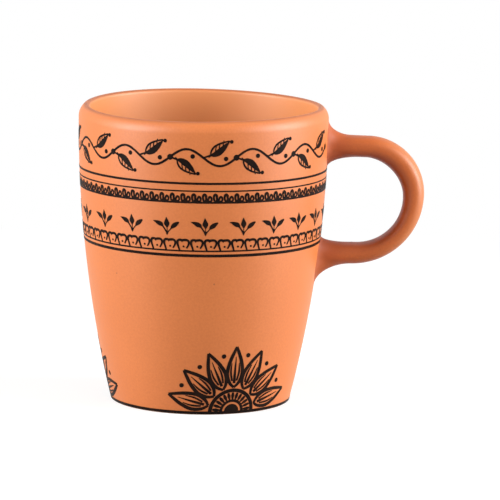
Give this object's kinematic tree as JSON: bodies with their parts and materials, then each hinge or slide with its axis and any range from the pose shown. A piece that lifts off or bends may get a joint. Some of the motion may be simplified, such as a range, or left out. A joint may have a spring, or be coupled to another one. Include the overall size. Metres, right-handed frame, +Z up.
{
  "type": "coffee cup",
  "caption": "Tapered round coffee cup in matt terracotta with a thick rolled lip, a loop handle with flared roots and rows of black line ornament fired on the wall.",
  "frame": {"origin": "on the cup's axis, in the plane of the foot ring", "axes": "+Z up along the cup's axis, +X towards the handle, -Y the printed front that faces the viewer"},
  "size_m": [0.111, 0.08, 0.096],
  "materials": {
    "terracotta": "matt glaze over terracotta stoneware",
    "slip": "fired slip, sponged smooth",
    "ink": "fired black ink, low sheen"
  },
  "bodies": {
    "root": {"cup_body": "terracotta", "handle": "terracotta", "upper_root_slip": "slip", "lower_root_slip": "slip", "upper_line": "ink", "upper_fine_line": "ink", "loop_border": "ink", "sprig_row": "ink", "scallop_border": "ink", "lower_fine_line": "ink", "lower_line": "ink", "foot_line": "ink", "leaf_frieze": "ink", "foot_rosettes": "ink"}
  },
  "joints": []
}
